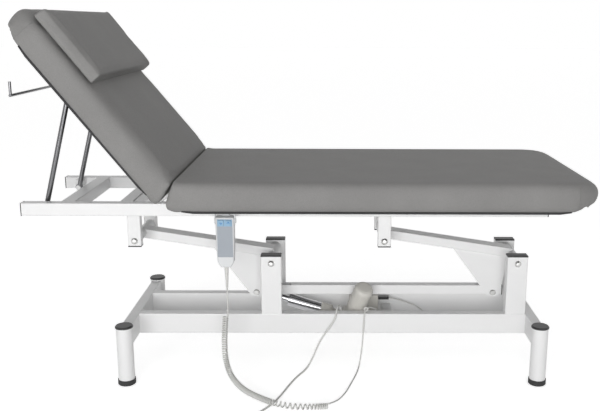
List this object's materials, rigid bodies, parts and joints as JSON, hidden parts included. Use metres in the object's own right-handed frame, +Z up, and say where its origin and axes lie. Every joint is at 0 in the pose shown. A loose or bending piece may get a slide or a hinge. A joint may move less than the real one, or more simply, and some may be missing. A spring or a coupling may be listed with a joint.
{
  "type": "electric_massage_table",
  "caption": "Electric massage table with a hinged backrest, head pillow, parallelogram lift, actuator, prop bail, handset and cords",
  "frame": {"origin": "On the floor, under the middle of the table's footprint without its cords", "axes": "+X to the foot end, +Y away from the camera side, +Z up"},
  "size_m": [1.56, 0.8445, 1.0459],
  "materials": {
    "frame_white": "satin powder coat",
    "black_plastic": "matt",
    "black_rubber": "matt",
    "zinc_steel": "zinc plated",
    "chrome_steel": "polished chrome",
    "motor_grey": "fine texture",
    "plywood": "raw plywood",
    "grey_upholstery": "faux leather over foam",
    "handset_white": "satin",
    "panel_grey": "membrane film",
    "button_blue": "satin",
    "cord_grey": "soft PVC"
  },
  "bodies": {
    "base": {"base_rail_near": "frame_white", "base_rail_far": "frame_white", "base_end_head": "frame_white", "base_end_foot": "frame_white", "leg_caps": "black_plastic", "feet": "black_rubber", "head_posts": "frame_white", "foot_posts": "frame_white", "post_caps": "black_plastic", "post_shafts": "zinc_steel", "actuator_bearer": "frame_white", "actuator_pin": "zinc_steel", "control_box": "motor_grey", "handset_plug": "black_plastic", "handset_lead": "cord_grey", "mains_cable": "cord_grey", "mains_coil": "cord_grey", "mains_plug": "cord_grey", "cable_tie": "cord_grey", "handset_curl": "cord_grey"},
    "head_rocker": {"head_rocker_arm": "frame_white", "head_rocker_plates": "frame_white", "head_rocker_pin": "zinc_steel"},
    "foot_rocker": {"foot_rocker_arm": "frame_white", "foot_rocker_plates": "frame_white", "foot_rocker_pin": "zinc_steel"},
    "lift_bar": {"connecting_bar": "frame_white", "connecting_bar_cap": "black_plastic"},
    "actuator_body": {"gear_housing": "motor_grey", "motor": "motor_grey", "mains_gland": "motor_grey", "actuator_stem": "motor_grey"},
    "actuator_rod": {"actuator_sleeve": "chrome_steel", "sleeve_collar": "motor_grey"},
    "top_frame": {"top_rail_near": "frame_white", "top_rail_far": "frame_white", "prop_cross_tube": "frame_white", "foot_cross_tube": "frame_white", "head_hanger_yoke": "frame_white", "foot_hanger_yoke": "frame_white", "top_frame_caps": "black_plastic", "hanger_shafts": "zinc_steel", "hinge_brackets": "frame_white", "prop_brackets": "frame_white", "seat_board": "plywood", "seat_cushion": "grey_upholstery", "handset_body": "handset_white", "handset_panel": "panel_grey", "cord_relief": "cord_grey", "handset_tail": "cord_grey"},
    "backrest": {"backrest_board": "plywood", "backrest_cushion": "grey_upholstery", "head_pillow": "grey_upholstery", "backrest_arms": "frame_white", "slide_bars": "frame_white", "roll_holder": "chrome_steel"},
    "bail": {"prop_bail": "chrome_steel"},
    "down_key": {"button_down": "button_blue"},
    "up_key": {"button_up": "button_blue"}
  },
  "joints": [
    {"name": "lift", "type": "hinge", "parent": "base", "child": "head_rocker", "pos_m": [-0.0993, 0, 0.3215], "axis": [0, 1, 0], "range_deg": [0, 46]},
    {"name": "foot_rocker_turn", "type": "hinge", "parent": "base", "child": "foot_rocker", "pos_m": [0.6207, 0, 0.3215], "axis": [0, 1, 0], "range_deg": [0, 46]},
    {"name": "lift_bar_turn", "type": "hinge", "parent": "head_rocker", "child": "lift_bar", "pos_m": [-0.1513, 0, 0.2045], "axis": [0, 1, 0], "range_deg": [-46, 0]},
    {"name": "top_frame_turn", "type": "hinge", "parent": "head_rocker", "child": "top_frame", "pos_m": [-0.4903, 0, 0.3905], "axis": [0, 1, 0], "range_deg": [-46, 0]},
    {"name": "actuator_turn", "type": "hinge", "parent": "base", "child": "actuator_body", "pos_m": [0.22221, 0, 0.08888], "axis": [0, 1, 0], "range_deg": [0, 5.36]},
    {"name": "actuator_rod_turn", "type": "hinge", "parent": "head_rocker", "child": "actuator_rod", "pos_m": [-0.1513, 0, 0.2045], "axis": [0, 1, 0], "range_deg": [-40.64, 0]},
    {"name": "backrest_tilt", "type": "hinge", "parent": "top_frame", "child": "backrest", "pos_m": [-0.3623, 0, 0.548], "axis": [0, 1, 0], "range_deg": [-51.6, 0]},
    {"name": "bail_turn", "type": "hinge", "parent": "top_frame", "child": "bail", "pos_m": [-0.7223, 0, 0.495], "axis": [0, 1, 0], "range_deg": [-103.2, 0]},
    {"name": "press_down_key", "type": "slide", "parent": "top_frame", "child": "down_key", "axis": [0, 1, 0], "range_m": [0, 0.0012], "stiffness_N_per_m": 1500},
    {"name": "press_up_key", "type": "slide", "parent": "top_frame", "child": "up_key", "axis": [0, 1, 0], "range_m": [0, 0.0012], "stiffness_N_per_m": 1500}
  ],
  "couplings": [
    {"joint": "foot_rocker_turn", "follows": "lift", "ratio": 1},
    {"joint": "lift_bar_turn", "follows": "lift", "ratio": -1},
    {"joint": "top_frame_turn", "follows": "lift", "ratio": -1},
    {"joint": "actuator_turn", "follows": "lift", "ratio": 0.1165},
    {"joint": "actuator_rod_turn", "follows": "lift", "ratio": -0.8835},
    {"joint": "bail_turn", "follows": "backrest_tilt", "ratio": 2}
  ]
}
